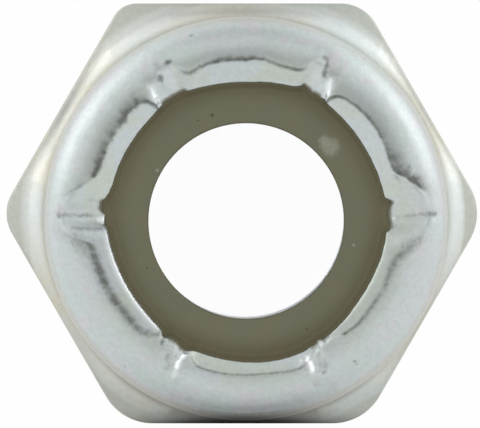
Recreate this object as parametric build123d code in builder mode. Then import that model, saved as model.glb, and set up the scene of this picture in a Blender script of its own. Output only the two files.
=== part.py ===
from build123d import *

import math
import os

# Nylon insert lock nut for a 1/4-20 UNC bolt. A cold-formed, zinc-plated steel
# hexagon carries a round collar, and the collar's rim is rolled inwards over a
# nylon ring and staked into it at each corner of the hexagon.
#
# Millimetres. The origin is at the centre of the bearing face and +Z runs up the
# bore to the collar. Two corners of the hexagon lie on the X axis.

# ---- Hexagon ----
side_count = 6
across_flats = 11.11
corner_radius = 1.06          # rounding of the upright edges
bearing_setback = 0.255       # from the flats in to the edge of the bearing face
bearing_chamfer_angle = 30    # rise of the chamfer outside that edge
shoulder_height = 5.45        # where the shoulder's cone meets the collar
shoulder_angle = 27           # fall of that cone towards the corners

# ---- Threaded hole, bored to the thread's minor diameter ----
thread_minor_diameter = 5.24
countersink_diameter = 6.8    # at the bearing face
relief_diameter = 6.5         # at the top of the thread, under the ring's seat
countersink_angle = 90        # between the sides of either countersink

# ---- Collar ----
nut_height = 7.9              # bearing face to the collar's crown
collar_setback = 0.235        # from the flats in to the collar
collar_wall = 0.82
collar_root_radius = 0.4      # hollow between the shoulder and the collar
dome_radius = 1.0             # outside of the bend where the rim turns inwards
crown_width = 0.15            # level top, from that bend to the crease

# ---- Rolled lip ----
lip_width = 0.47              # from the crease to the window that shows the ring
lip_thickness = 0.5           # the rim's edge, thinned by rolling
lip_edge_radius = 0.1
lip_fall = 0.1                # fall of the rolled flat towards the window
crease_depth = 0.11           # step from the crown down to that flat
crease_slope = 45             # slope of that step

# ---- Stakes, one for each corner of the hexagon ----
stake_depth = 0.26            # below the lip's edge
stake_angle = 100             # between the sides of the groove
stake_reach = 1.15            # from the lip's edge to the groove's end on the dome

# ---- Nylon ring ----
insert_height = 2.1
insert_bore_diameter = 5.14
insert_clearance = 0.03       # between the ring and the steel around it
insert_bite = 0.1             # how far the lip sinks into the ring's face
insert_edge_chamfer = 0.12    # at both ends of the ring's bore
insert_corner_chamfer = 0.25  # of the outer corner that the rim is rolled over

# ---- Worked out from the sizes above ----
flat_radius = across_flats / 2
corner_reach = flat_radius / math.cos(math.pi / side_count)
bearing_radius = flat_radius - bearing_setback
collar_radius = flat_radius - collar_setback
pocket_radius = collar_radius - collar_wall
thread_radius = thread_minor_diameter / 2
countersink_radius = countersink_diameter / 2
relief_radius = relief_diameter / 2
dome_centre_radius = collar_radius - dome_radius
crease_radius = dome_centre_radius - crown_width
lip_radius = crease_radius - lip_width
stake_end_radius = lip_radius + stake_reach
insert_radius = pocket_radius - insert_clearance
insert_bore_radius = insert_bore_diameter / 2


def slope_height(run, angle):
    """Rise of a slope over a horizontal run."""
    return run * math.tan(math.radians(angle))


def countersink_depth(radius):
    """Depth of a countersink that opens the thread's hole to this radius."""
    return slope_height(radius - thread_radius, 90 - countersink_angle / 2)


chamfer_top = slope_height(corner_reach - bearing_radius, bearing_chamfer_angle)
shoulder_edge = shoulder_height - slope_height(corner_reach - collar_radius, shoulder_angle)
thread_bottom = countersink_depth(countersink_radius)

# The rolled flat falls from the crease to the lip's edge, and the ring's face stands
# a little above the underside of that edge.
crease_foot_radius = crease_radius - crease_depth / math.tan(math.radians(crease_slope))
crease_foot = nut_height - crease_depth
lip_top = crease_foot - lip_fall
lip_underside = lip_top - lip_thickness
pocket_roof = nut_height - collar_wall
insert_top = lip_underside + insert_bite
insert_roof = pocket_roof - insert_clearance
seat_height = insert_top - insert_height
thread_top = seat_height - countersink_depth(relief_radius)

# A stake's groove rises outwards from below the lip's edge until it runs out on the
# dome's bend.
stake_floor = lip_top - stake_depth
stake_past_bend = max(stake_end_radius - dome_centre_radius, 0)
stake_end = nut_height - dome_radius + math.sqrt(dome_radius**2 - stake_past_bend**2)
stake_rise = stake_end - stake_floor
stake_length = math.hypot(stake_reach, stake_rise)
stake_mouth = 2 * (nut_height - stake_floor)      # depth of the cutter, clear of the crown
stake_half_width = stake_mouth * math.tan(math.radians(stake_angle / 2))


# The half sections are drawn through the middle of a flat.
section_plane = Plane.XZ.rotated((0, 0, 180 / side_count))


# ---- Staking blade: a V-shaped tool that shapes one groove ----
stake_plane = Plane(
    origin=(lip_radius, 0, stake_floor),
    x_dir=(0, 1, 0),
    z_dir=(stake_reach, 0, stake_rise),
)
with BuildPart() as stake_blade:
    with BuildSketch(stake_plane):
        with BuildLine():
            Polyline(
                (0, 0),
                (stake_half_width, stake_mouth),
                (-stake_half_width, stake_mouth),
                close=True,
            )
        make_face()
    extrude(amount=stake_length, both=True)


# ---- Nut body: hexagon, collar and rolled lip in one piece of steel ----
# Its half section, as the radius, height and rounding of each corner in turn.
nut_section = [
    (countersink_radius, 0, 0),
    (bearing_radius, 0, 0),
    (corner_reach, chamfer_top, 0),
    (corner_reach, shoulder_edge, 0),
    (collar_radius, shoulder_height, collar_root_radius),
    (collar_radius, nut_height, dome_radius),
    (crease_radius, nut_height, 0),
    (crease_foot_radius, crease_foot, 0),
    (lip_radius, lip_top, lip_edge_radius),
    (lip_radius, lip_underside, 0),
    (pocket_radius - insert_corner_chamfer, pocket_roof, 0),
    (pocket_radius, pocket_roof - insert_corner_chamfer, 0),
    (pocket_radius, seat_height, 0),
    (relief_radius, seat_height, 0),
    (thread_radius, thread_top, 0),
    (thread_radius, thread_bottom, 0),
]
with BuildPart() as nut_body:
    with BuildSketch(section_plane):
        with BuildLine():
            FilletPolyline(
                [(radius, height) for radius, height, _ in nut_section],
                radius=[rounding for _, _, rounding in nut_section],
                close=True,
            )
        make_face()
    revolve(axis=Axis.Z)

    # The six flats.
    with BuildSketch() as hexagon:
        RegularPolygon(flat_radius, side_count, major_radius=False)
        fillet(hexagon.vertices(), radius=corner_radius)
    extrude(amount=nut_height, mode=Mode.INTERSECT)

    # The stakes, one in line with each corner of the hexagon.
    with PolarLocations(0, side_count):
        add(stake_blade.part, mode=Mode.SUBTRACT)
nut_body.part.label = "nut_body"


# ---- Nylon insert: a plain ring that the bolt cuts its own way through ----
with BuildPart() as nylon_insert:
    with BuildSketch(section_plane):
        with BuildLine():
            Polyline(
                (insert_bore_radius, seat_height + insert_edge_chamfer),
                (insert_bore_radius + insert_edge_chamfer, seat_height),
                (insert_radius, seat_height),
                (insert_radius, insert_roof - insert_corner_chamfer),
                (insert_radius - insert_corner_chamfer, insert_roof),
                (lip_radius - insert_clearance, lip_underside - insert_clearance),
                (lip_radius - insert_clearance, insert_top),
                (insert_bore_radius + insert_edge_chamfer, insert_top),
                (insert_bore_radius, insert_top - insert_edge_chamfer),
                close=True,
            )
        make_face()
    revolve(axis=Axis.Z)
nylon_insert.part.label = "nylon_insert"


os.makedirs("parts", exist_ok=True)
export_step(nut_body.part, "parts/nut_body.step")
export_step(nylon_insert.part, "parts/nylon_insert.step")
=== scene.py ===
import math
from collections import namedtuple

import bmesh
import bpy
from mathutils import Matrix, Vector, noise


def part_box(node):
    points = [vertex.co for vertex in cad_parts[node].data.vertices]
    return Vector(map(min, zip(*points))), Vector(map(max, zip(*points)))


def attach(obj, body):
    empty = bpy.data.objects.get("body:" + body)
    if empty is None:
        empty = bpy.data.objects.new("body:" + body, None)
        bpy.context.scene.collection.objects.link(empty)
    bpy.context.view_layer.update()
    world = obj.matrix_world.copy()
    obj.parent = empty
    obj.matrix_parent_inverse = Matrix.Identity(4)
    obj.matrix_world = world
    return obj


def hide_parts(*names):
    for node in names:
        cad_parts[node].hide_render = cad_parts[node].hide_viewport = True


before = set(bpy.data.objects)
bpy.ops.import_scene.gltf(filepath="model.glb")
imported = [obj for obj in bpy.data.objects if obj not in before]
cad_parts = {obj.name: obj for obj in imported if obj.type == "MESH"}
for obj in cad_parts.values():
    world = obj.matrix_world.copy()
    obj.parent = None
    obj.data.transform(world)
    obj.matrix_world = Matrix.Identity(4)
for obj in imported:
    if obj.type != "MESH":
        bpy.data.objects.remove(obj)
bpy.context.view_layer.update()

# Lengths below are in millimetres and angles in degrees. A mesh is worked on in millimetres
# and scaled to metres when it is finished.
mm = 0.001
fullTurn = 2 * math.pi
quarterTurn = math.pi / 2
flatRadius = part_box("nut_body")[1][1] / mm  # centre to a flat of the hexagon
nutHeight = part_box("nut_body")[1][2] / mm
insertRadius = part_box("nylon_insert")[1][0] / mm
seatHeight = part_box("nylon_insert")[0][2] / mm


def smoothStep(value):
    value = min(max(value, 0.0), 1.0)
    return value * value * (3 - 2 * value)


def mix(first, second, share):
    return first + (second - first) * share


def bell(distance, width):
    return math.exp(-(distance / width) ** 2)


def ripple(x, y=0.0, z=0.0):  # smooth noise, about -1 to 1
    return noise.noise(Vector((x, y, z)))


def angleGap(angle, other):  # signed
    return (angle - other + 180) % 360 - 180


def roundTheRim(points, angle):  # a smooth closed curve through (angle, value) points
    after = next((i for i, point in enumerate(points) if point[0] > angle), 0)
    near = [points[(after + i) % len(points)] for i in (-2, -1, 0, 1)]
    gaps = [(b[0] - a[0]) % 360 for a, b in zip(near, near[1:])]
    slopes = [(b[1] - a[1]) / gap for a, b, gap in zip(near, near[1:], gaps)]
    ends = [0 if a * b <= 0 else 2 * a * b / (a + b) * gaps[1] for a, b in zip(slopes, slopes[1:])]
    share = ((angle - near[1][0]) % 360) / gaps[1]
    bend = share * (1 - share)
    return (mix(near[1][1], near[2][1], smoothStep(share))
            + bend * (ends[0] * (1 - share) - ends[1] * share))


def finishMesh(bm, name, material, smooth=True):  # to metres, then into the scene
    bmesh.ops.scale(bm, vec=(mm, mm, mm), verts=bm.verts)
    bmesh.ops.recalc_face_normals(bm, faces=bm.faces)
    for face in bm.faces:
        face.smooth = smooth
    mesh = bpy.data.meshes.new(name)
    bm.to_mesh(mesh)
    bm.free()
    mesh.materials.append(material)
    piece = bpy.data.objects.new(name, mesh)
    bpy.context.scene.collection.objects.link(piece)
    return piece


def spinSection(section, columnCount, pitch=0.0, turns=1.0):
    # Spins a closed section, given as (radius, height) points, round the nut's axis. The layer
    # "ring" keeps the number of the section's point that each vertex comes from.
    bm = bmesh.new()
    ring = bm.verts.layers.int.new("ring")
    corners = [bm.verts.new((radius, 0, height)) for radius, height in section]
    for number, corner in enumerate(corners):
        corner[ring] = number
    sides = [bm.edges.new((corners[i - 1], corners[i])) for i in range(len(corners))]
    steps = round(columnCount * turns)
    bmesh.ops.spin(
        bm, geom=corners + sides, cent=(0, 0, 0), axis=(0, 0, 1), angle=fullTurn * turns,
        steps=steps, dvec=(0, 0, pitch * turns / steps), use_merge=pitch == 0,
    )
    return bm, ring


# A section that changes round the nut is a list of rings. Each ring is a function that gives its
# radius and height in a column of the mesh.
def fixed(*points):  # the same all the way round
    return [lambda column, point=point: point for point in points]


def between(first, second, *shares):  # on the straight lines from one ring to another
    return [lambda column, share=share: tuple(
        mix(a, b, share) for a, b in zip(first(column), second(column))) for share in shares]


def sweep(shape, steps, start=0.0, end=1.0):  # along a shape that takes a turn or a share
    return [lambda column, turn=mix(start, end, step / steps): shape(column, turn)
            for step in range(steps + 1)]


def spinRings(rings, columnCount):  # a plain tube, whose vertices are set afterwards
    return spinSection([(collar["radius"], number * 0.01) for number in range(len(rings))], columnCount)


def eachVertex(bm, ring, rings, columns):  # with its column, radius and height
    for vert in bm.verts:
        turn = math.atan2(vert.co.y, vert.co.x) / fullTurn
        column = columns[round(turn * len(columns)) % len(columns)]
        radius, height = rings[vert[ring]](column)
        yield vert, column, radius, height


def putRound(vert, radius, column, height, off):
    turn = column["turn"]
    vert.co = (radius * math.cos(turn) + off[0], radius * math.sin(turn) + off[1], height)


class Wire:  # a socket that shader maths can be written with
    def __init__(self, tree, socket):
        self.tree = tree
        self.socket = socket

    def join(self, operation, first, second):
        maths = self.tree.nodes.new("ShaderNodeMath")
        maths.operation = operation
        for entry, value in zip(maths.inputs, (first, second)):
            plug(self.tree, entry, value)
        return Wire(self.tree, maths.outputs[0])

    def __add__(self, other):
        return self.join("ADD", self, other)

    def __radd__(self, other):
        return self.join("ADD", other, self)

    def __sub__(self, other):
        return self.join("SUBTRACT", self, other)

    def __rsub__(self, other):
        return self.join("SUBTRACT", other, self)

    def __mul__(self, other):
        return self.join("MULTIPLY", self, other)

    def __rmul__(self, other):
        return self.join("MULTIPLY", other, self)

    def __truediv__(self, other):
        return self.join("DIVIDE", self, other)


def plug(tree, entry, value):  # a link where the value is a wire, a plain value otherwise
    if isinstance(value, Wire):
        tree.links.new(value.socket, entry)
    else:
        entry.default_value = value


class Finish:  # a node tree under construction
    def __init__(self, owner):
        owner.use_nodes = True
        self.tree = owner.node_tree
        self.tree.nodes.clear()

    def add(self, kind, settings, sockets, output=0):
        node = self.tree.nodes.new(kind)
        for name, value in settings.items():
            setattr(node, name, value)
        for name, value in sockets.items():
            plug(self.tree, node.inputs[name], value)
        return Wire(self.tree, node.outputs[output])

    def vector(self, operation, first, second=(0, 0, 0), output=0):
        return self.add("ShaderNodeVectorMath", {"operation": operation}, {0: first, 1: second}, output)

    def place(self, centre):  # object coordinates in millimetres, from a centre
        spot = self.add("ShaderNodeTexCoord", {}, {}, "Object")
        return self.add(
            "ShaderNodeMapping", {},
            {"Vector": spot, "Scale": (1 / mm, 1 / mm, 1 / mm), "Location": (-centre[0], -centre[1], 0)})

    def layer(self, name):  # a value that the mesh carries
        return self.add("ShaderNodeAttribute", {"attribute_name": name}, {}, "Fac")

    def cloud(self, spot, size, detail=2.0, roughness=0.5, distortion=0.0):  # noise, 0 to 1
        return self.add(
            "ShaderNodeTexNoise", {},
            {"Vector": spot, "Scale": 1 / size, "Detail": detail, "Roughness": roughness,
             "Distortion": distortion}, "Fac")

    def span(self, value, low, high, bottom=0.0, top=1.0):  # eased from one range to another
        return self.add(
            "ShaderNodeMapRange", {"interpolation_type": "SMOOTHSTEP"},
            {"Value": value, "From Min": low, "From Max": high, "To Min": bottom, "To Max": top})

    def tint(self, share, first, second):
        return self.add("ShaderNodeMix", {"data_type": "RGBA"}, {0: share, 6: first, 7: second}, 2)

    def dim(self, colour, gain):
        return self.add("ShaderNodeVectorMath", {"operation": "SCALE"}, {0: colour, "Scale": gain})

    def bump(self, height, strength, depth):
        return self.add(
            "ShaderNodeBump", {},
            {"Height": height, "Strength": strength, "Distance": depth * mm}, "Normal")

    def glow(self, strength):
        return self.add("ShaderNodeEmission", {}, {"Color": (1, 1, 1, 1), "Strength": strength}, "Emission")

    def last(self, surface, kind="ShaderNodeOutputMaterial"):
        node = self.tree.nodes.new(kind)
        plug(self.tree, node.inputs["Surface"], surface)


hexagon = {
    "sides": 6,
    "shoulderHeight": 5.45, "shoulderAngle": 27, "bearingRadius": 5.3, "bearingChamfer": 30,
    "cornerRounding": [1.38, 1.06, 0.67, 1.06, 1.42, 1.42],  # upright edges, from +X round
    "edgeRound": 0.09,  # of the edges above and below the flats
    "edgeSteps": 5, "edgeWidth": 0.054,  # of the upper one, the width as seen from above
    "flatMatte": 0.55,  # how chalky the flats are
    "lowerSide": 270,  # azimuth of the flat with painted shade along its edge
    # painted shade there: its strength, how far in from the flat, how wide and how far down it reaches
    "lowerEdgeShade": 1.25, "lowerShadeReach": 0.5, "lowerShadeSpread": 3.2, "lowerShadeDrop": 2.2,
    "columns": 640, "crowding": 0.35,  # of the mesh, crowded together at the stakes
}
collar = {
    "radius": 5.32, "domeHeight": 1.0, "rootRadius": 0.98, "rootSteps": 10,
    "rootShare": 0.95,  # of the shoulder's width, at most, that the hollow takes
    "offCentre": (0.085, -0.135),  # of the rolled rim, from the hexagon's axis
    "shadeFrom": 4.88,  # radius where the painted shade of its foot begins
    "hollowHighlight": 0.36, "hollowEase": 0.12, "footEase": 0.08,  # painted highlight in the hollow's corners
}
bore = {
    "crestRadius": 2.64, "rootRadius": 3.175, "pitch": 1.27, "crestHalf": 0.235, "slope": 30,
    "countersink": 3.4, "relief": 3.25, "offCentre": (0.055, -0.122),
    "turns": 4.6, "stepsToATurn": 96, "start": -0.15,
    "crestEase": 0.03, "bury": 0.045,  # how deep the ridge's foot is in the wall
    "footGap": 0.12, "seatGap": 0.06, "runOut": 0.012,  # from the ridge to the bore's ends
}
pocket = {"radius": 4.5, "roof": 7.08, "cornerChamfer": 0.25}

# Painted shade and the bluish film of the shoulder. Each curve is a list of (angle, value) points round the
# nut.
shoulderCurves = {
    "dull": [  # painted shade
        (0, 0.02), (40, 0.0), (62, 0.0), (78, 0.16), (90, 0.26), (102, 0.14), (118, 0.0), (175, 0.0),
        (205, 0.1), (225, 0.3), (243, 0.44), (270, 0.4), (298, 0.36), (315, 0.24), (338, 0.1),
    ],
    "hollowDull": [  # painted shade in its hollow, strongest facing the two bright lamps
        (0, 0.0), (12, 0.0), (21, 0.34), (30, 0.48), (39, 0.34), (48, 0.0), (132, 0.0), (141, 0.36),
        (150, 0.56), (159, 0.36), (168, 0.0),
    ],
    "cool": [  # bluish film
        (0, 0.6), (20, 0.1), (40, 0.3), (60, 1.0), (80, 0.3), (105, 0.2), (120, 0.5), (140, 0.1),
        (165, 0.0), (180, 0.6), (200, 0.1), (240, 0.3), (255, 0.0), (285, 0.2), (300, 0.8),
        (325, 0.2),
    ],
}

rim = {
    "outer": 5.1,  # where the dome's outside meets its top
    "lipUnderside": 7.19, "edgeTurn": 0.25,  # radians, where the window's edge is first rounded
    "dipReach": 0.15, "shadeReach": 0.36, "shadeEase": 0.05,
    "edgeReach": 0.11, "smearEase": 3,  # of the painted highlight and the smeared nylon at the window
    "softening": 5,  # rounds of smoothing
    "hingeSoft": 0.05,  # height over which the lip's bend is rounded
    "creaseWaver": 0.08, "lipWaver": 0.008, "topWaver": 0.007,
    "grimeShadeWaver": 0.12, "raggedGrimeShade": 0.4,  # unevenness of the grime and painted crease shade, and more where ragged
}

# The rolled rim, in curves of the same kind.
rimCurves = {
    "lipEdge": [  # radius of the window's edge
        (0, 3.74), (2.5, 3.73), (4.5, 3.77), (6.5, 3.82), (7.7, 3.77), (8.8, 3.68), (15, 3.66),
        (30, 3.63), (45, 3.65), (54, 3.68), (57, 3.74), (60, 3.72), (62, 3.71), (64, 3.75),
        (66.6, 3.8), (68.6, 3.72), (71, 3.67), (80, 3.62), (90, 3.57), (105, 3.61), (113, 3.66),
        (117, 3.7), (124, 3.71), (127.7, 3.68), (135, 3.63), (150, 3.61), (165, 3.61), (169, 3.65),
        (171.5, 3.72), (174, 3.8), (176.5, 3.78), (178.5, 3.7), (182, 3.71), (184, 3.65),
        (190, 3.61), (200, 3.58), (210, 3.57), (220, 3.58), (230, 3.63), (233, 3.67), (235.2, 3.78),
        (237, 3.73), (239, 3.69), (241, 3.71), (243, 3.76), (246, 3.8), (248, 3.75), (250.5, 3.72),
        (265, 3.75), (280, 3.8), (288, 3.81), (294.5, 3.8), (297, 3.77), (298.6, 3.78),
        (300.7, 3.71), (303, 3.76), (305, 3.75), (309, 3.73), (315, 3.7), (325, 3.65), (335, 3.65),
        (345, 3.68), (354, 3.7), (356, 3.79), (358, 3.77),
    ],
    "edgeGleam": [  # painted highlight along the window's edge
        (0, 0.0), (184, 0.0), (190, 0.6), (205, 0.9), (228, 0.9), (234, 0.3), (238, 0.0),
    ],
    "crease": [  # radius of the fold where the rolled lip begins
        (2, 4.9), (6, 4.84), (9.7, 4.7), (11.5, 4.56), (14.5, 4.34), (17, 4.14), (20, 4.08),
        (26, 4.12), (36, 4.17), (45, 4.14), (51, 4.08), (53, 4.02), (55, 3.87), (55.9, 3.74),
        (56.6, 4.02), (57.4, 4.24), (58.6, 4.31), (60.6, 4.28), (61.6, 4.46), (62.3, 4.6),
        (64, 4.71), (65.5, 4.63), (67.1, 4.46), (69.2, 4.2), (72, 4.13), (76, 4.12), (82, 4.18),
        (86, 4.22), (90, 4.18), (100, 4.2), (107, 4.16), (110.8, 4.09), (113, 4.18), (115, 4.42),
        (117, 4.57), (119.5, 4.57), (121, 4.46), (121.9, 4.31), (124.2, 4.32), (126.2, 4.25),
        (127.3, 4.02), (128.2, 3.74), (129.3, 3.93), (131, 4.07), (133.5, 4.18), (138, 4.17),
        (143, 4.13), (149, 4.14), (157, 4.11), (161, 4.11), (164.6, 4.16), (167.2, 4.34),
        (169.5, 4.5), (172, 4.74), (176, 4.88), (183, 4.86), (186, 4.6), (188.5, 4.26), (191, 4.12),
        (198, 4.09), (210, 4.07), (219, 4.04), (226, 4.06), (231, 3.94), (234, 3.8), (238, 3.84),
        (242, 4.0), (245, 3.86), (248, 3.92), (252, 4.1), (262, 4.12), (276, 4.11), (289, 4.18),
        (293, 4.12), (297, 4.0), (301, 3.9), (306, 3.84), (310, 3.97), (318, 4.05), (325, 4.03),
        (332, 4.05), (341, 4.03), (346, 4.12), (350, 4.34), (353.5, 4.62), (357, 4.86),
    ],
    "drop": [  # from the dome down to the lip at the fold
        (0, 0.0), (8, 0.002), (13, 0.055), (54.5, 0.055), (56.5, 0.015), (58.5, 0.01), (61, 0.02),
        (67, 0.02), (71, 0.055), (109, 0.055), (113, 0.02), (121, 0.02), (124.5, 0.015),
        (127.5, 0.015), (130, 0.055), (168, 0.055), (175, 0.004), (183, 0.004), (195, 0.045),
        (228, 0.045), (240, 0.03), (270, 0.03), (300, 0.02), (325, 0.035), (347, 0.025),
        (351, 0.002),
    ],
    "dip": [  # how far the dome rolls down towards the fold
        (0, 0.002), (15, 0.01), (100, 0.01), (165, 0.01), (176, 0.002), (190, 0.0), (340, 0.0),
    ],
    "creaseHalf": [  # half the fold's width
        (0, 0.2), (7, 0.16), (12, 0.08), (30, 0.055), (54, 0.055), (55.6, 0.08), (56.4, 0.26),
        (57.4, 0.22), (59, 0.12), (61, 0.08), (62, 0.06), (66, 0.1), (70, 0.07), (90, 0.06),
        (113, 0.08), (118, 0.09), (121, 0.06), (122.6, 0.08), (124.5, 0.12), (126.6, 0.22),
        (127.8, 0.26), (128.6, 0.08), (130, 0.055), (160, 0.07), (168, 0.09), (176, 0.2),
        (184, 0.18), (195, 0.12), (230, 0.1), (262, 0.05), (330, 0.06), (350, 0.12),
    ],
    "hinge": [  # radius where the lip bends down
        (0, 4.84), (8, 4.62), (15, 4.24), (24, 4.13), (54, 4.14), (58, 4.3), (62, 4.5), (66, 4.46),
        (71, 4.2), (76, 4.14), (107, 4.14), (112, 4.2), (117, 4.46), (121, 4.48), (126, 4.3),
        (130, 4.14), (158, 4.13), (166, 4.24), (173, 4.62), (180, 4.84), (186, 4.5), (194, 4.1),
        (230, 4.04), (250, 4.1), (292, 4.14), (345, 4.06), (352, 4.5),
    ],
    "ragged": [  # how ragged the fold is
        (0, 0.2), (8, 0.6), (24, 0.45), (35, 0.25), (60, 0.1), (76, 0.2), (90, 0.35), (108, 0.25),
        (125, 0.3), (132, 0.7), (160, 0.65), (170, 0.3), (190, 0.25), (230, 0.2), (250, 0.08),
        (340, 0.12),
    ],
    "crown": [  # radius where the dome is level
        (0, 4.28), (30, 4.3), (150, 4.3), (190, 4.18), (230, 4.08), (310, 4.06), (350, 4.18),
    ],
    "lipFall": [  # slope of the lip to the window
        (0, 0.2), (12, 0.32), (165, 0.32), (178, 0.18), (190, 0.04), (230, 0.06), (245, 0.26),
        (295, 0.26), (315, 0.1), (345, 0.1), (356, 0.18),
    ],
    "edgeRound": [  # of the window's edge
        (0, 0.05), (12, 0.06), (168, 0.06), (176, 0.05), (186, 0.17), (232, 0.17), (242, 0.06),
        (300, 0.06), (330, 0.12), (352, 0.1), (358, 0.05),
    ],
    "grime": [  # how much grime and painted shade the fold holds
        (0, 0.0), (8, 0.1), (10, 0.6), (13, 0.75), (22, 0.75), (28, 0.6), (45, 0.66), (52, 0.5),
        (56, 0.2), (60, 0.1), (66, 0.05), (69, 0.2), (72, 0.5), (80, 0.5), (86, 0.66), (90, 0.78),
        (100, 0.76), (106, 0.5), (111, 0.5), (114, 0.3), (117, 0.05), (126, 0.1), (129, 0.6),
        (134, 0.76), (141, 0.74), (147, 0.58), (153, 0.66), (159, 0.8), (164, 0.8), (166, 0.3),
        (169, 0.5), (172, 0.35), (175, 0.05), (184, 0.15), (187, 0.4), (190, 0.78), (200, 0.84),
        (212, 0.76), (222, 0.78), (229, 0.62), (233, 0.5), (236, 0.1), (247, 0.05), (250, 0.65),
        (262, 0.6), (275, 0.55), (283, 0.55), (290, 0.62), (293, 0.3), (298, 0.0), (308, 0.05),
        (311, 0.72), (324, 0.7), (333, 0.6), (341, 0.66), (347, 0.6), (352, 0.42), (355, 0.2),
        (357, 0.0),
    ],
    "grimeIn": [  # its reach to the window's side
        (0, 0.06), (90, 0.055), (135, 0.1), (160, 0.09), (186, 0.14), (230, 0.15), (250, 0.055),
        (290, 0.05), (325, 0.08), (340, 0.11), (350, 0.15),
    ],
    "grimeOut": [  # and outwards
        (0, 0.07), (10, 0.12), (13, 0.3), (21, 0.34), (27, 0.16), (60, 0.06), (80, 0.07), (95, 0.13),
        (110, 0.08), (135, 0.2), (158, 0.18), (168, 0.06), (186, 0.12), (192, 0.15), (230, 0.12),
        (244, 0.05), (260, 0.045), (318, 0.07), (330, 0.11), (343, 0.15), (350, 0.24),
    ],
    "shade": [  # painted shade outward of the fold
        (0, 0.0), (12, 0.5), (25, 0.55), (54, 0.5), (60, 0.35), (64, 0.1), (69, 0.35), (90, 0.4),
        (108, 0.3), (116, 0.1), (124, 0.3), (130, 0.5), (150, 0.5), (166, 0.4), (174, 0.05),
        (184, 0.25), (190, 0.3), (198, 0.0), (250, 0.0), (270, 0.1), (292, 0.1), (300, 0.0),
    ],
}

# One punched stake at each corner: the angles between which it opens the window's edge, and how
# much nylon is smeared on the metal there.
stakes = [
    (-4.4, 8.0, 0.9), (58.0, 67.5, 0.9), (114.5, 126.5, 1.0), (172.0, 178.5, 1.0),
    (237.0, 246.0, 0.9), (296.0, 306.0, 0.6),
]
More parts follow.
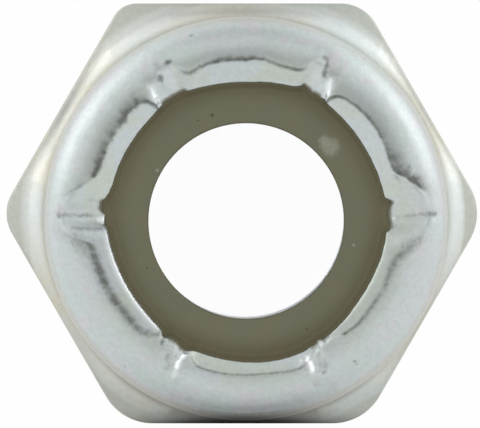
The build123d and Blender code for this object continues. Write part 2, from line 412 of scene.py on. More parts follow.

# Dents, folds and burrs that the punch left: from (angle, radius) to (angle, radius), half
# width, height above the metal round them, how much grime and painted shade they hold, and how much painted
# highlight, on burnished metal, they carry.
markRows = [
    ((1.0, 3.8), (1.4, 4.75), 0.28, -0.04),
    ((0.9, 4.2), (1.3, 4.52), 0.06, -0.006, 0.42),
    ((1.3, 4.6), (1.4, 4.84), 0.07, -0.008, 0.48),
    ((1.4, 4.88), (1.5, 4.96), 0.1, -0.008, 0.62),
    ((357.9, 4.0), (358.5, 4.76), 0.2, -0.012, 0.16),
    ((359.6, 3.84), (359.9, 3.92), 0.05, 0.02, 0.0, 0.8),
    ((3.0, 3.82), (5.0, 3.84), 0.04, 0.01, 0.0, 0.4),
    ((353.4, 4.6), (349.4, 4.24), 0.17, -0.012, 0.42),
    ((353.9, 4.62), (352.0, 4.6), 0.036, -0.006, 0.45),
    ((13.9, 4.5), (10.2, 4.67), 0.066, -0.014, 0.9),
    ((18.0, 4.52), (15.4, 4.34), 0.04, -0.01, 0.6),
    ((20.6, 4.26), (18.0, 4.42), 0.04, -0.008, 0.5),
    ((16.0, 4.06), (13.6, 4.16), 0.06, -0.004, 0.4),
    ((16.2, 4.62), (14.8, 4.5), 0.022, 0.006, 0.0, 0.6),
    ((61.3, 4.26), (62.1, 4.58), 0.074, -0.01, 0.66),
    ((62.3, 4.63), (64.3, 4.73), 0.07, -0.008, 0.54),
    ((60.9, 4.12), (61.1, 4.24), 0.06, 0.0, 0.22),
    ((57.9, 4.3), (56.4, 3.84), 0.105, 0.055, 0.0, 1.0),
    ((64.0, 3.95), (63.8, 4.56), 0.17, 0.0, 0.0, 0.22),
    ((66.3, 3.8), (66.8, 3.86), 0.05, -0.006, 0.6),
    ((121.7, 4.24), (121.3, 4.36), 0.084, -0.01, 0.66),
    ((120.6, 4.7), (119.6, 4.56), 0.09, -0.004, 0.3),
    ((122.3, 4.0), (121.9, 4.18), 0.07, 0.0, 0.26),
    ((115.8, 4.6), (117.1, 4.58), 0.08, -0.006, 0.72),
    ((118.6, 3.95), (118.4, 4.4), 0.17, 0.0, 0.0, 0.22),
    ((119.4, 3.84), (121.6, 3.9), 0.1, 0.0, 0.18),
    ((126.5, 4.32), (127.7, 3.8), 0.092, 0.055, 0.0, 1.0),
    ((129.3, 3.98), (130.4, 4.0), 0.04, -0.01, 0.5),
    ((131.6, 4.44), (132.2, 4.36), 0.04, -0.004, 0.32),
    ((179.0, 3.8), (178.8, 4.75), 0.26, -0.04),
    ((178.7, 4.06), (178.9, 4.4), 0.058, -0.006, 0.5),
    ((178.8, 4.48), (178.9, 4.86), 0.056, -0.006, 0.46),
    ((179.3, 4.9), (178.5, 4.91), 0.08, -0.006, 0.5),
    ((184.0, 3.82), (183.2, 4.6), 0.06, -0.006, 0.44),
    ((173.2, 3.94), (173.4, 4.24), 0.06, -0.004, 0.28),
    ((192.0, 4.16), (186.6, 4.5), 0.21, -0.006, 0.4),
    ((180.3, 3.74), (180.3, 3.88), 0.07, 0.03, 0.0, 1.0),
    ((235.6, 3.84), (236.1, 3.98), 0.06, -0.01, 0.62),
    ((240.2, 3.84), (240.8, 3.96), 0.15, 0.1, 0.0, 0.3),
    ((241.0, 4.14), (242.0, 4.4), 0.13, -0.05, 0.22),
    ((240.0, 4.12), (241.0, 4.26), 0.09, -0.004, 0.4),
    ((248.0, 3.84), (246.5, 4.06), 0.09, 0.085),
    ((246.5, 4.12), (246.8, 4.32), 0.09, 0.08),
    ((245.2, 3.86), (243.7, 4.06), 0.09, -0.085),
    ((243.7, 4.12), (243.9, 4.32), 0.09, -0.08),
    ((246.5, 3.82), (245.0, 4.06), 0.09, 0.0, 0.0, 1.0),
    ((245.0, 4.06), (245.3, 4.32), 0.09, 0.0, 0.0, 1.0),
    ((245.3, 4.4), (245.7, 4.58), 0.09, 0.03, 0.0, 0.5),
    ((297.9, 3.92), (297.6, 4.36), 0.14, -0.06, 0.16),
    ((300.6, 3.77), (301.0, 3.84), 0.09, 0.1, 0.0, 1.0),
    ((298.0, 3.98), (298.5, 4.06), 0.06, -0.004, 0.35),
    ((292.2, 4.06), (292.2, 4.32), 0.1, 0.1),
    ((295.3, 4.04), (295.0, 4.32), 0.1, -0.1),
    ((293.7, 4.0), (293.6, 4.36), 0.11, 0.0, 0.0, 1.0),
    ((298.9, 4.28), (298.4, 4.42), 0.09, -0.006, 0.36),
    ((297.3, 4.53), (296.3, 4.54), 0.06, -0.006, 0.46),
    ((307.0, 4.7), (307.6, 4.74), 0.036, -0.01, 0.5),
    ((306.9, 4.79), (307.5, 4.81), 0.034, -0.01, 0.45),
    ((292.4, 4.7), (293.2, 4.72), 0.09, -0.004, 0.28),
    ((106.4, 5.02), (106.8, 5.02), 0.03, -0.008, 0.7),
    ((311.6, 4.9), (312.6, 4.92), 0.026, -0.004, 0.3),
    ((230.4, 5.04), (231.0, 5.03), 0.03, -0.006, 0.35),
]
Mark = namedtuple("Mark", "start end half rise dirt gleam", defaults=(0.0, 0.0))
marks = [Mark(*row) for row in markRows]
stroke = {
    "near": 8,  # how far round the nut a mark can reach
    "grain": 7, "layer": 50, "shift": (7, 3, 5),  # noise that wavers a mark's outline
    "darkMarkWaver": 0.6, "cleanWaver": 0.2,  # as a share of its half width
    "taper": 0.25, "darkMarkWidth": 1.2,
}
finishLayers = ("dirt", "stain", "shade", "gleam", "cool", "matte")  # that the mesh carries
shoulderSlope = math.radians(hexagon["shoulderAngle"])


def hexRadius(angle):  # plan of the flats and the rounded upright edges
    side = 360 / hexagon["sides"]
    corner = round(angle / side) % hexagon["sides"]
    rounding = hexagon["cornerRounding"][corner]
    turn = math.radians(abs(angleGap(angle, corner * side)))
    half = math.radians(side / 2)
    centre = (flatRadius - rounding) / math.cos(half)
    reach = math.atan2(rounding * math.sin(half), centre + rounding * math.cos(half))
    if turn > reach:
        return flatRadius / math.cos(half - turn)
    return centre * math.cos(turn) + math.sqrt(rounding ** 2 - (centre * math.sin(turn)) ** 2)


def domeHeight(radius, crown):
    reach = collar["radius"] - crown
    out = min(max(radius - crown, 0) / reach, 1)
    return nutHeight - collar["domeHeight"] * (1 - math.sqrt(1 - out * out))


def columnAt(angle):  # everything that depends on the angle alone
    curves = {**rimCurves, **shoulderCurves}
    column = {name: roundTheRim(curve, angle) for name, curve in curves.items()}
    outline = hexRadius(angle)
    room = (outline - hexagon["edgeWidth"] - collar["radius"]) / (1 - math.sin(shoulderSlope))
    column["angle"] = angle
    column["turn"] = math.radians(angle)
    column["outline"] = outline
    column["edgeHeight"] = (hexagon["shoulderHeight"] - hexagon["edgeRound"]
                            - (outline - collar["radius"]) * math.tan(shoulderSlope))
    column["root"] = min(collar["rootRadius"], collar["rootShare"] * room)
    column["marks"] = [mark for mark in marks if abs(angleGap(angle, mark.start[0])) < stroke["near"]]
    fine, coarse = ripple(angle * 1.3, 7.1), ripple(angle * 0.45, 3.1)
    column["crease"] += rim["creaseWaver"] * column["ragged"] * (coarse + 0.35 * fine)
    uneven = rim["grimeShadeWaver"] + rim["raggedGrimeShade"] * column["ragged"]
    column["grime"] *= 1 + uneven * ripple(angle * 0.6, 0, 9.4)
    column["lipEdge"] += rim["lipWaver"] * ripple(angle * 0.7, 0, 5.5)
    return column


def strokeGap(mark, angle, radius):  # distance from a fold or burr
    wide = math.radians(radius)  # of a degree
    grain = stroke["grain"]
    place = Vector((wide * angle * grain, radius * grain, mark.half * stroke["layer"]))
    waver = mark.half * (stroke["darkMarkWaver"] if mark.dirt else stroke["cleanWaver"])
    x = angleGap(angle, mark.start[0]) * wide + waver * noise.noise(place)
    y = radius - mark.start[1] + waver * noise.noise(place + Vector(stroke["shift"]))
    runX = angleGap(mark.end[0], mark.start[0]) * wide
    runY = mark.end[1] - mark.start[1]
    along = (x * runX + y * runY) / (runX ** 2 + runY ** 2)
    along = min(max(along, 0.0), 1.0)
    taper = 1 - stroke["taper"] + stroke["taper"] * math.sin(math.pi * along)
    return math.hypot(x - runX * along, y - runY * along) / taper


def rimHeight(radius, column):  # top of the rolled rim
    angle, crease, half = column["angle"], column["crease"], column["creaseHalf"]
    dome = domeHeight(radius, column["crown"])
    dome -= column["dip"] * bell(max(radius - crease, 0), rim["dipReach"])
    hinge = column["hinge"]
    lip = domeHeight(hinge, column["crown"]) - column["dip"] - column["drop"]
    lip += column["lipFall"] * (radius - hinge)
    over = dome - column["drop"]
    near = max(rim["hingeSoft"] - abs(lip - over), 0)
    lip = min(lip, over) - near ** 2 / rim["hingeSoft"] / 4
    height = mix(lip, dome, smoothStep((radius - crease + half) / (2 * half)))
    for mark in column["marks"]:
        height += mark.rise * bell(strokeGap(mark, angle, radius), mark.half)
    height += rim["topWaver"] * ripple(radius * 2.2, column["turn"] * 9)
    return min(height, nutHeight)


def dirtAndShadeAt(radius, column):  # how much grime and painted shade lie in the crease and the folds
    off = radius - column["crease"]
    dirt = column["grime"] * bell(off, column["grimeOut"] if off > 0 else column["grimeIn"])
    for mark in column["marks"]:
        if mark.dirt:
            gap = strokeGap(mark, column["angle"], radius)
            dirt = max(dirt, mark.dirt * bell(gap, stroke["darkMarkWidth"] * mark.half))
    return dirt


def highlightAt(radius, column):  # painted highlights, on burnished metal and along the window's edge
    gleam = column["edgeGleam"] * bell(radius - column["lipEdge"], rim["edgeReach"])
    for mark in column["marks"]:
        if mark.gleam:
            gleam = max(gleam, mark.gleam * bell(strokeGap(mark, column["angle"], radius), mark.half))
    return gleam


def stainAt(radius, column):  # nylon smeared on the metal where the stakes cut the lip
    stain = 0.0
    for start, end, smear in stakes:
        inside = min(angleGap(column["angle"], start), -angleGap(column["angle"], end))
        stain = max(stain, smear * smoothStep(inside / rim["smearEase"] + 0.5))
    return stain * bell(radius - column["lipEdge"], rim["edgeReach"])


def shoulderShadeAt(radius, column):  # painted shade on the shoulder and the collar's foot
    reach = collar["radius"] - collar["shadeFrom"]
    return smoothStep((radius - collar["shadeFrom"]) / reach) * column["dull"]


# painted shade outward of the fold, and the shoulder's painted shade where that is greater
def shadeAt(radius, column):
    out = radius - column["crease"]
    eased = smoothStep(out / rim["shadeEase"] + 0.5)
    return max(column["shade"] * bell(max(out, 0), rim["shadeReach"]) * eased, shoulderShadeAt(radius, column))


def rimFinish(radius, column):
    return {"dirt": dirtAndShadeAt(radius, column), "stain": stainAt(radius, column),
            "shade": shadeAt(radius, column), "gleam": highlightAt(radius, column)}


# painted shade on the shoulder and in its hollow, a painted highlight in the hollow's corners, and the
# bluish film
def shoulderFinish(radius, column):
    foot = collar["radius"] + column["root"] * (1 - math.sin(shoulderSlope))
    flat = smoothStep((radius - foot) / collar["footEase"] + 0.5)
    outer = smoothStep((radius - rim["outer"]) / (collar["radius"] - rim["outer"]))
    inHollow = smoothStep((radius - collar["radius"]) / collar["hollowEase"])
    corner = 0.5 + 0.5 * math.cos(hexagon["sides"] * column["turn"])
    upper = 1 - bell(angleGap(column["angle"], hexagon["lowerSide"]), 360 / hexagon["sides"])
    return {"shade": max(shoulderShadeAt(radius, column), column["hollowDull"] * inHollow),
            "gleam": collar["hollowHighlight"] * corner * (1 - flat) * upper * inHollow,
            "cool": outer * column["cool"]}


def lowerEdgeShade(vert, column):  # painted shade on the edge above the flat at -Y, fading down it
    fade = max(1 - (vert.co.y + flatRadius) / hexagon["lowerShadeReach"], 0)
    fade *= smoothStep((vert.co.z - column["edgeHeight"]) / hexagon["lowerShadeDrop"] + 1)
    return hexagon["lowerEdgeShade"] * fade * bell(vert.co.x, hexagon["lowerShadeSpread"])


def bodySection():  # its rings, and the number of the first one in each part
    slope, chamfer = shoulderSlope, math.radians(hexagon["bearingChamfer"])
    bearing, sink, wall = hexagon["bearingRadius"], bore["countersink"], collar["radius"]
    domeFoot = nutHeight - collar["domeHeight"]

    def shoulder(radius):
        return hexagon["shoulderHeight"] - (radius - wall) * math.tan(slope)

    def lowerEdge(column, turn):  # rounded edge between the bearing chamfer and a flat
        radius = hexagon["edgeRound"]
        meet = (column["outline"] - bearing) * math.tan(chamfer)
        centre = meet + radius * math.tan(math.pi / 4 - chamfer / 2)
        return column["outline"] - radius + radius * math.cos(turn), centre + radius * math.sin(turn)

    def upperEdge(column, turn):  # rounded edge between a flat and the shoulder
        radius = min(hexagon["edgeRound"], 0.5 * (column["outline"] - wall))
        centre = shoulder(column["outline"]) - radius * math.tan(math.pi / 4 - slope / 2)
        return column["outline"] - radius + radius * math.cos(turn), centre + radius * math.sin(turn)

    def hollow(column, share):  # from the shoulder (0) up to the collar's wall (1)
        radius = column["root"]
        tilt = mix(slope, quarterTurn, share)
        out = wall + radius
        centre = shoulder(out) + radius / math.cos(slope)
        return out - radius * math.sin(tilt), centre - radius * math.cos(tilt)

    def domeSide(column, share):  # from the wall up to the rim's top
        reach = wall - column["crown"]
        last = math.asin((rim["outer"] - column["crown"]) / reach)
        turn = mix(quarterTurn, last, share)
        return column["crown"] + reach * math.sin(turn), domeFoot + collar["domeHeight"] * math.cos(turn)

    def rimTop(column, share):
        radius = mix(rim["outer"], column["lipEdge"] + column["edgeRound"], share)
        return radius, rimHeight(radius, column)

    def lipRound(column, turn):  # rounding of the window's edge
        radius = column["edgeRound"]
        height = rimHeight(column["lipEdge"] + radius, column)
        return (column["lipEdge"] + radius * (1 - math.sin(turn)),
                height - radius * (math.cos(rim["edgeTurn"]) - math.cos(turn)))

    def lipUnder(column):
        return column["lipEdge"], rim["lipUnderside"]

    lower = sweep(lowerEdge, 4, chamfer - quarterTurn, 0)
    upper = sweep(upperEdge, hexagon["edgeSteps"], 0, quarterTurn - slope)
    root = sweep(hollow, collar["rootSteps"])
    edge = sweep(lipRound, 6, rim["edgeTurn"], quarterTurn)[1:]
    seat, corner = pocket["radius"], pocket["cornerChamfer"]
    parts = {
        "bearing": fixed((sink - 0.03, 0.03), (sink - 0.01, 0.01), (sink + 0.03, 0), (4.3, 0), (5.2, 0),
                         (bearing - 0.03, 0), (bearing, 0.004), (bearing + 0.026, 0.015))
        + between(*fixed((bearing, 0)), lower[0], 0.33, 0.66),
        "flats": lower + between(lower[-1], upper[0], 0.25, 0.5, 0.75),
        "shoulder": upper + between(upper[-1], root[0], 0.2, 0.4, 0.6, 0.8),
        "hollow": root + between(root[-1], *fixed((wall, domeFoot)), 0.35, 0.7) + sweep(domeSide, 18)[:-1],
        "top": sweep(rimTop, 60),
        "edge": edge,
        "inside": between(edge[-1], lipUnder, 0.5, 1.0)
        + fixed((4.08, rim["lipUnderside"] - 0.05), (seat - corner, pocket["roof"]),
                (seat, pocket["roof"] - corner), (seat, 6.2), (seat, seatHeight), (3.9, seatHeight),
                (bore["relief"], seatHeight),
                (bore["rootRadius"], seatHeight - bore["relief"] + bore["rootRadius"]))
        + fixed(*((bore["rootRadius"], height) for height in (4.2, 3.2, 2.2, 1.2)))
        + fixed((bore["rootRadius"], sink - bore["rootRadius"])),
    }
    rings = []
    starts = {}
    for name, part in parts.items():
        starts[name] = len(rings)
        rings += part
    return rings, starts


def buildThread():
    # A right-hand ridge wound up the bore, run out into the cones at both ends.
    wall = bore["rootRadius"] + bore["bury"]
    radius, crest, ease = bore["crestRadius"], bore["crestHalf"], bore["crestEase"]
    run = crest + (wall - radius) * math.tan(math.radians(bore["slope"]))
    section = [(wall, -run), (radius + ease, -crest), (radius, -crest + ease),
               (radius, crest - ease), (radius + ease, crest), (wall, run)]
    bm, _ = spinSection(section, bore["stepsToATurn"], bore["pitch"], bore["turns"])
    bmesh.ops.holes_fill(bm, edges=[edge for edge in bm.edges if edge.is_boundary], sides=len(section))
    bmesh.ops.translate(bm, vec=(0, 0, bore["start"]), verts=bm.verts)
    for vert in bm.verts:
        radius = math.hypot(vert.co.x, vert.co.y)
        height = min(max(vert.co.z, bore["footGap"]), seatHeight - bore["seatGap"])
        cone = max(bore["countersink"] - height, bore["relief"] - (seatHeight - height))
        grown = max(radius, cone + bore["runOut"])
        vert.co.x = vert.co.x * grown / radius + bore["offCentre"][0]
        vert.co.y = vert.co.y * grown / radius + bore["offCentre"][1]
        vert.co.z = height
    return bm


def crowdedAngle(share):  # crowds the mesh's columns together at the stakes
    turn = fullTurn * share
    turn -= hexagon["crowding"] / hexagon["sides"] * math.sin(hexagon["sides"] * turn)
    return math.degrees(turn) % 360


def buildBody(material):
    rings, starts = bodySection()
    count = hexagon["columns"]
    bm, ring = spinRings(rings, count)
    columns = [columnAt(crowdedAngle(i / count)) for i in range(count)]
    layers = {name: bm.verts.layers.float.new(name) for name in finishLayers}
    matteRings = hexagon["edgeSteps"] + 1  # over which the flats' chalky look fades
    for vert, column, radius, height in eachVertex(bm, ring, rings, columns):
        number = vert[ring]
        rolled = min(max(number - starts["hollow"], 0) / collar["rootSteps"], 1)
        off = [rolled * value for value in collar["offCentre"]]
        if number > starts["inside"] + 1:
            off = (0, 0)
        if radius < bore["countersink"] + 0.05:  # the bore, its seat cone and its mouth
            off = bore["offCentre"]
        putRound(vert, radius, column, height, off)
        values = {}
        if starts["top"] <= number < starts["inside"]:
            values = rimFinish(radius, column)
        elif starts["shoulder"] <= number < starts["top"]:
            values = shoulderFinish(radius, column)
        # painted shade along the edge above the flat at -Y
        if starts["flats"] <= number < starts["top"]:
            values["dirt"] = lowerEdgeShade(vert, column)
        left = starts["shoulder"] + matteRings - number
        if number >= starts["flats"] and left > 0:
            values["matte"] = hexagon["flatMatte"] * min(left / matteRings, 1)
        for name, value in values.items():
            vert[layers[name]] = value
    top = [vert for vert in bm.verts if starts["top"] <= vert[ring] < starts["edge"]]
    for _ in range(rim["softening"]):  # blunts the folds and the stakes
        bmesh.ops.smooth_vert(
            bm, verts=top, factor=0.5, use_axis_x=False, use_axis_y=False, use_axis_z=True)
    thread = buildThread()
    spare = bpy.data.meshes.new("threadRidge")
    thread.to_mesh(spare)
    thread.free()
    bm.from_mesh(spare)
    bpy.data.meshes.remove(spare)
    lows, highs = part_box("nut_body")
    for vert in bm.verts:  # within the solid's box
        for axis in range(3):
            vert.co[axis] = min(max(vert.co[axis], lows[axis] / mm), highs[axis] / mm)
    return finishMesh(bm, "nutBody", material)


# Colours of the plate, then where each comes in: over a span of noise, or of the distance from
# the rim's centre. A noise has its size, detail, roughness and distortion.
zinc = {
    "metal": (0.63, 0.67, 0.68, 1), "green": (0.6, 0.68, 0.66, 1), "rose": (0.665, 0.645, 0.675, 1),
    "lip": (0.61, 0.665, 0.61, 1), "lilac": (0.625, 0.675, 0.685, 1),
    "shoulder": (0.655, 0.665, 0.595, 1), "warm": (0.68, 0.655, 0.54, 1),
    # The tan tone at the end of the next line is painted shade in the valley at the collar's foot.
    "blush": (0.68, 0.63, 0.6, 1), "cool": (0.65, 0.73, 0.71, 1), "tan": (0.53, 0.49, 0.42, 1),
    # On the next line, the dark grey-green is painted shade and the near-white a painted highlight.
    "tip": (0.5, 0.515, 0.45, 1), "dull": (0.34, 0.355, 0.33, 1), "highlightTone": (0.9, 0.93, 0.95, 1),
    # On the next line, the grey is grime with painted crease shade, and the near-black is painted shade
    # along the lower edge.
    "grime": (0.17, 0.18, 0.165, 1), "deepShade": (0.02, 0.02, 0.018, 1), "stain": (0.15, 0.146, 0.1, 1),
    "matte": (0.52, 0.53, 0.47, 1),
    "drift": (1.1, 2.0, 0.5, 0.4), "patch": (0.45, 3.0, 0.6), "film": (1.3, 2.0, 0.5, 0.5),
    "wear": (0.5, 2.0, 0.5), "mottle": (0.13, 3.0, 0.7), "crumbs": (0.11, 3.0, 0.65),
    "grain": (0.05, 2.0, 0.6), "wave": (0.28, 3.0, 0.6),
    "greenSpan": (0.42, 0.62), "roseSpan": (0.5, 0.68, 0, 0.7), "lilacSpan": (0.44, 0.6),
    "warmSpan": (0.46, 0.6), "blushSpan": (0.52, 0.66, 0, 0.5),
    "lipFrom": (4.8, 4.05), "shoulderFrom": (5.26, 5.36), "valleyShadeFrom": (5.1, 5.26),
    "valleyShadeTo": (5.54, 5.32), "valleyShadeShare": 0.3, "tipFrom": (5.7, 5.82, 0, 0.66), "boreFrom": (3.3, 3.2),
    "wearSway": 0.2, "mottled": 0.3,
    "crumbsFrom": (0.03, 0.3),  # amount of grime and painted shade, or of nylon, at which it gets crumbly
    "crumbly": 0.62, "crumblyTo": (5.3, 5.1), "grimeShadeSpan": (0.0, 1.05),
    "deepShadeSpan": (0.55, 1.2), "deepShadeFrom": (5.0, 5.2), "stainCrumbly": 0.5, "stainSpan": (0.1, 0.85),
    "roughness": 0.42, "grainRough": 0.1, "grimeShadeRough": 0.25, "highlightSmooth": 0.08,
    "grainHeight": 0.35, "bumpStrength": 0.5, "bumpDepth": 0.02,
}


def zincPlate():
    material = bpy.data.materials.new("zincPlate")
    paint = Finish(material)
    spot = paint.place(collar["offCentre"])
    cloud = {name: paint.cloud(spot, *zinc[name])
             for name in ("drift", "patch", "film", "wear", "mottle", "crumbs", "grain", "wave")}
    dirt, stain, shade, gleam, cool, matte = (paint.layer(name) for name in finishLayers)
    out = paint.vector("LENGTH", paint.vector("MULTIPLY", spot, (1, 1, 0)), output="Value")

    def over(share, colour, name):
        return paint.tint(share, colour, zinc[name])

    # the plate's own film of colours, and how it differs on the lip and the shoulder
    colour = over(paint.span(cloud["drift"], *zinc["greenSpan"]), zinc["metal"], "green")
    colour = over(paint.span(cloud["patch"], *zinc["roseSpan"]), colour, "rose")
    lip = over(paint.span(cloud["film"], *zinc["lilacSpan"]), zinc["lip"], "lilac")
    colour = paint.tint(paint.span(out, *zinc["lipFrom"]), colour, lip)
    band = over(paint.span(cloud["film"], *zinc["warmSpan"]), zinc["shoulder"], "warm")
    band = over(paint.span(cloud["patch"], *zinc["blushSpan"]), band, "blush")
    colour = paint.tint(paint.span(out, *zinc["shoulderFrom"]), colour, band)
    colour = over(cool, colour, "cool")
    # painted shade in the valley at the collar's foot, deeper where the shade is painted
    foot = paint.span(out, *zinc["valleyShadeFrom"]) * paint.span(out, *zinc["valleyShadeTo"])
    colour = over(foot * (shade + zinc["valleyShadeShare"]), colour, "tan")
    worn = (cloud["wear"] - 0.5) * zinc["wearSway"]
    colour = over(paint.span(out + worn, *zinc["tipFrom"]), colour, "tip")
    colour = paint.dim(colour, 1 + (cloud["mottle"] - 0.5) * zinc["mottled"])
    # painted shade and painted highlights
    colour = over(shade, colour, "dull")
    colour = over(gleam, colour, "highlightTone")
    # the bore painted near-white, a painted highlight
    colour = over(paint.span(out, *zinc["boreFrom"]), colour, "highlightTone")
    # grime with painted crease shade, painted shade along the lower edge, and smeared nylon
    crumbly = zinc["crumbly"] * paint.span(dirt, *zinc["crumbsFrom"]) * paint.span(out, *zinc["crumblyTo"])
    grime = paint.span(dirt + (cloud["crumbs"] - 0.5) * crumbly, *zinc["grimeShadeSpan"])
    colour = over(grime, colour, "grime")
    # painted shade, near-black, along the edge above the flat at -Y
    deepShaded = paint.span(dirt, *zinc["deepShadeSpan"])
    colour = over(deepShaded * paint.span(out, *zinc["deepShadeFrom"]), colour, "deepShade")
    crumbly = zinc["stainCrumbly"] * paint.span(stain, *zinc["crumbsFrom"])
    smeared = paint.span(stain + (cloud["crumbs"] - 0.5) * crumbly, *zinc["stainSpan"])
    colour = over(smeared, colour, "stain")
    rough = zinc["roughness"] + (cloud["grain"] - 0.5) * zinc["grainRough"]
    rough = rough + grime * zinc["grimeShadeRough"] - gleam * zinc["highlightSmooth"]
    height = cloud["grain"] * zinc["grainHeight"] + cloud["wave"]
    bump = paint.bump(height, zinc["bumpStrength"], zinc["bumpDepth"])
    plate = paint.add(
        "ShaderNodeBsdfPrincipled", {},
        {"Base Color": colour, "Metallic": 1 - smeared, "Roughness": rough, "Normal": bump}, "BSDF")
    # the chalky flats take the same grime and painted shade
    chalk = over(deepShaded, over(grime, zinc["matte"], "grime"), "deepShade")
    chalk = paint.add(
        "ShaderNodeBsdfPrincipled", {},
        {"Base Color": chalk, "Roughness": 1.0, "Specular IOR Level": 0.0, "Normal": bump}, "BSDF")
    paint.last(paint.add("ShaderNodeMixShader", {}, {0: matte, 1: plate, 2: chalk}))
    return material


print("nut body")
nutBody = buildBody(zincPlate())
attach(nutBody, "root")
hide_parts("nut_body")


insert = {
    "boreRadius": 2.57, "boreFoot": 2.63, "top": 7.29, "roof": 7.05, "edgeRound": 0.1,
    "cornerChamfer": 0.25, "boreOff": (0.09, -0.2),
    "clearance": 0.002, "tuckDepth": 0.16,  # where the face meets the lip's edge
    "underEdge": 0.8, "pressReach": 0.1,  # nylon pressed up against that edge
    "crown": 0.08, "crownFrom": 0.1, "crownReach": 0.8,
    "waver": 0.006, "waves": 1.3,  # unevenness of the face
    "faceSteps": 30, "columns": 360,
}


def buildInsert(material):
    top, boreRadius, edge = insert["top"], insert["boreRadius"], insert["edgeRound"]

    def bulge(column, radius):
        metal = rimHeight(column["lipEdge"] + column["edgeRound"], column)
        inward = radius - boreRadius - insert["crownFrom"]
        crown = insert["crown"] * smoothStep(inward / insert["crownReach"])
        rise = metal - insert["underEdge"] * column["edgeRound"] - top - insert["crown"]
        press = max(rise, 0) * bell(column["lipEdge"] - radius, insert["pressReach"])
        return crown + press * (1 + 0.1 * ripple(column["angle"] * 0.8, radius * 3, 2))

    def tuck(column, share):  # up the lip's edge to the face
        radius = column["lipEdge"] - insert["clearance"]
        return radius, top + bulge(column, radius) if share else top - insert["tuckDepth"]

    def face(column, share):
        radius = mix(column["lipEdge"] - insert["clearance"], boreRadius + edge, share)
        wide = radius * insert["waves"]
        wave = ripple(wide * math.cos(column["turn"]), wide * math.sin(column["turn"]))
        return radius, top + bulge(column, radius) + insert["waver"] * (wave - 1)

    def mouth(column, turn):  # rounding of the bore's upper edge
        return boreRadius + edge * (1 - math.sin(turn)), top - edge * (1 - math.cos(turn))

    foot, corner, faceSteps = insert["boreFoot"], insert["cornerChamfer"], insert["faceSteps"]
    rings = fixed((insertRadius, seatHeight), (insertRadius, 6.0), (insertRadius, insert["roof"] - corner),
                  (insertRadius - corner, insert["roof"]), (4.06, 7.09))
    firstTuck = len(rings)
    rings += sweep(tuck, 1) + sweep(face, faceSteps)[1:] + sweep(mouth, 5, 0, quarterTurn)[1:]
    rings += between(rings[-1], *fixed((foot, seatHeight + edge)), 0.25, 0.5, 0.75, 1.0)
    bevel = 0.3 * edge
    rings += fixed((foot + bevel, seatHeight + bevel), (foot + edge, seatHeight), (3.6, seatHeight))
    bm, ring = spinRings(rings, insert["columns"])
    columns = [columnAt(360 * i / insert["columns"]) for i in range(insert["columns"])]
    for vert, column, radius, height in eachVertex(bm, ring, rings, columns):
        inward = min(max((vert[ring] - firstTuck - 1) / faceSteps, 0), 1)
        off = [mix(a, b, inward) for a, b in zip(collar["offCentre"], insert["boreOff"])]
        if not firstTuck <= vert[ring] < len(rings) - 1:
            off = (0, 0)
        putRound(vert, radius, column, height, off)
    return finishMesh(bm, "nylonInsert", material)


nylon = {
    "inner": (0.18, 0.174, 0.113, 1), "green": (0.168, 0.173, 0.117, 1), "greenSpan": (0.4, 0.62),
    # the outer tone is darker and yellower: the nylon's own tone, and painted shade under the lip
    "outer": (0.15, 0.138, 0.083, 1), "outerFrom": (2.95, 3.65),
    "rust": (0.17, 0.13, 0.08, 1), "rustFrom": (3.2, 3.7), "rustSpan": (0.5, 0.66, 0, 0.35),
    "mottle": (0.8, 3.0, 0.55), "grain": (0.06, 2.0, 0.6), "stains": (0.6, 2.0, 0.5),
    "raggedness": (0.08, 3.0, 0.6), "ragged": 1.4,  # of the specks' outlines
    "pale": (0.31, 0.305, 0.24, 1), "dark": (0.075, 0.07, 0.04, 1), "speckSpan": (1.15, 0.35, 0, 0.8),
    "specks": [  # (x, y), size, shade
        ((2.23, 1.88), 0.29, "pale"), ((2.05, 2.03), 0.18, "pale"), ((2.83, -0.7), 0.055, "pale"),
        ((-2.33, 1.28), 0.06, "pale"), ((-0.89, 2.72), 0.06, "dark"), ((-1.26, 2.58), 0.035, "dark"),
        ((1.6, -2.9), 0.035, "dark"), ((-2.6, -1.3), 0.03, "dark"),
    ],
    "grained": 0.16, "roughness": 0.6, "grainRough": 0.1, "specular": 0.2,
    "bumpStrength": 0.3, "bumpDepth": 0.01,
}


def oliveNylon():
    material = bpy.data.materials.new("oliveNylon")
    paint = Finish(material)
    spot = paint.place(collar["offCentre"])
    grain = paint.cloud(spot, *nylon["grain"])
    green = paint.span(paint.cloud(spot, *nylon["mottle"]), *nylon["greenSpan"])
    colour = paint.tint(green, nylon["inner"], nylon["green"])
    flat = paint.vector("MULTIPLY", spot, (1, 1, 0))
    out = paint.vector("LENGTH", flat, output="Value")
    # darker and yellower towards the lip: partly the nylon's own tone, partly painted shade under the lip
    colour = paint.tint(paint.span(out, *nylon["outerFrom"]), colour, nylon["outer"])
    reddish = paint.span(paint.cloud(spot, *nylon["stains"]), *nylon["rustSpan"])
    colour = paint.tint(paint.span(out, *nylon["rustFrom"]) * reddish, colour, nylon["rust"])
    ragged = (paint.cloud(spot, *nylon["raggedness"]) - 0.5) * nylon["ragged"]
    for (x, y), size, shade in nylon["specks"]:
        away = paint.vector("DISTANCE", flat, (x, y, 0), "Value")
        colour = paint.tint(paint.span(away / size + ragged, *nylon["speckSpan"]), colour, nylon[shade])
    colour = paint.dim(colour, 1 + (grain - 0.5) * nylon["grained"])
    rough = nylon["roughness"] + (grain - 0.5) * nylon["grainRough"]
    bump = paint.bump(grain, nylon["bumpStrength"], nylon["bumpDepth"])
    paint.last(paint.add(
        "ShaderNodeBsdfPrincipled", {},
        {"Base Color": colour, "Roughness": rough, "Normal": bump,
         "Specular IOR Level": nylon["specular"]}, "BSDF"))
    return material


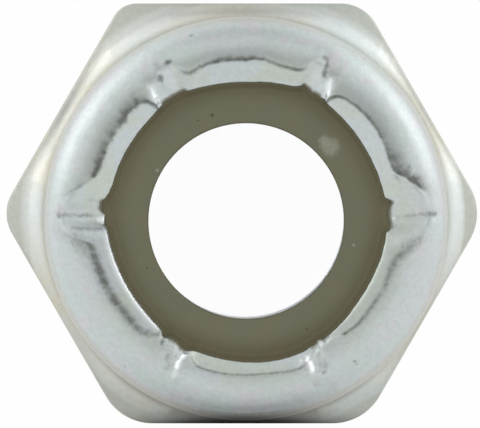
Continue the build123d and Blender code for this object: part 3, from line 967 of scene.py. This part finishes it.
print("nylon insert")
nylonInsert = buildInsert(oliveNylon())
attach(nylonInsert, "root")
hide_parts("nylon_insert")


studio = {
    "floorSize": 600, "floorDrop": 0.01, "floorShade": 0.75,
    "floorWhite": 0.95, "contactShade": 0.06,  # the floor's glow for the camera, and its shadow
    "sky": 0.9,
    "lights": [  # in the sky: azimuth, elevation, spread and gain, or loss where it is darker
        (30, 2, 31, 1.12), (150, 2, 31, 1.12), (90, 84, 28, -0.44), (270, -4, 30, -0.7),
        (270, 10, 42, -0.28), (90, 10, 40, -0.3),
    ],
    "cards": [  # on the floor: azimuth, half angle, near edge and glow
        (270, 30, 7.2, 0.86), (270, 22, 7.2, 0.55), (270, 14, 7.2, 0.3), (32, 24, 28, 1.5),
        (148, 24, 28, 1.5),
    ],
    "cardFar": 90.0, "cardLift": 0.01,
}


def buildFloor():
    bm = bmesh.new()
    bmesh.ops.create_grid(bm, x_segments=1, y_segments=1, size=studio["floorSize"] / 2)
    bmesh.ops.translate(bm, vec=(0, 0, -studio["floorDrop"]), verts=bm.verts)
    material = bpy.data.materials.new("paleFloor")
    paint = Finish(material)
    ray = paint.add("ShaderNodeLightPath", {}, {}, "Is Camera Ray")
    glossy = Wire(paint.tree, ray.socket.node.outputs["Is Glossy Ray"])
    through = Wire(paint.tree, ray.socket.node.outputs["Is Transmission Ray"])

    def chalky(shade):
        return paint.add("ShaderNodeBsdfDiffuse", {}, {"Color": (shade, shade, shade, 1)}, "BSDF")

    seen = paint.add(
        "ShaderNodeAddShader", {}, {0: paint.glow(studio["floorWhite"]), 1: chalky(studio["contactShade"])})
    plain = chalky(studio["floorShade"])
    paint.last(paint.add("ShaderNodeMixShader", {}, {0: ray + glossy + through, 1: plain, 2: seen}))
    return finishMesh(bm, "floor", material, smooth=False)


def buildCard(number, azimuth, half, near, glow):  # only reflections see it
    bm = bmesh.new()
    far = studio["cardFar"]
    height = studio["cardLift"] * (number + 1)
    corners = []
    for reach, turn in ((near, -half), (near, half), (far, half), (far, -half)):
        way = math.radians(azimuth + turn)
        corners.append(bm.verts.new((reach * math.cos(way), reach * math.sin(way), height)))
    bm.faces.new(corners)
    material = bpy.data.materials.new(f"card{number}")
    paint = Finish(material)
    paint.last(paint.glow(glow))
    card = finishMesh(bm, f"card{number}", material, smooth=False)
    card.visible_camera = False
    card.visible_diffuse = False
    card.visible_shadow = False
    card.visible_transmission = False
    return card


def buildWorld():
    world = bpy.data.worlds.new("softStudio")
    bpy.context.scene.world = world
    paint = Finish(world)
    way = paint.vector("NORMALIZE", paint.add("ShaderNodeTexCoord", {}, {}, "Generated"))
    strength = studio["sky"]
    for azimuth, elevation, spread, gain in studio["lights"]:
        turn, lift = math.radians(azimuth), math.radians(elevation)
        centre = (math.cos(turn) * math.cos(lift), math.sin(turn) * math.cos(lift), math.sin(lift))
        near = paint.vector("DOT_PRODUCT", way, centre, "Value")
        strength = strength + paint.span(near, math.cos(math.radians(spread)), 1.0, 0, gain)
    camera = paint.add("ShaderNodeLightPath", {}, {}, "Is Camera Ray")
    strength = strength * (1 - camera) + camera * studio["floorWhite"]
    sky = paint.add("ShaderNodeBackground", {}, {"Color": (1, 1, 1, 1), "Strength": strength})
    paint.last(sky, "ShaderNodeOutputWorld")


shot = {
    "lens": 1200, "sensor": 36, "near": 0.01, "far": 10,  # its clipping, in metres
    "width": 480, "scale": 37.8,  # pixels across the frame, and to a millimetre
    "aim": (-0.071, -0.017, 5.1),
}


def buildCamera():  # straight above the nut
    data = bpy.data.cameras.new("camera")
    data.lens = shot["lens"]
    data.sensor_width = shot["sensor"]
    data.clip_start = shot["near"]
    data.clip_end = shot["far"]
    eye = bpy.data.objects.new("camera", data)
    bpy.context.scene.collection.objects.link(eye)
    away = shot["lens"] / shot["sensor"] * shot["width"] / shot["scale"]
    eye.location = (Vector(shot["aim"]) + Vector((0, 0, away))) * mm
    bpy.context.scene.camera = eye


print("studio")
floor = buildFloor()
cards = [buildCard(number, *card) for number, card in enumerate(studio["cards"])]
buildWorld()
buildCamera()
bpy.context.scene.view_settings.view_transform = "Standard"
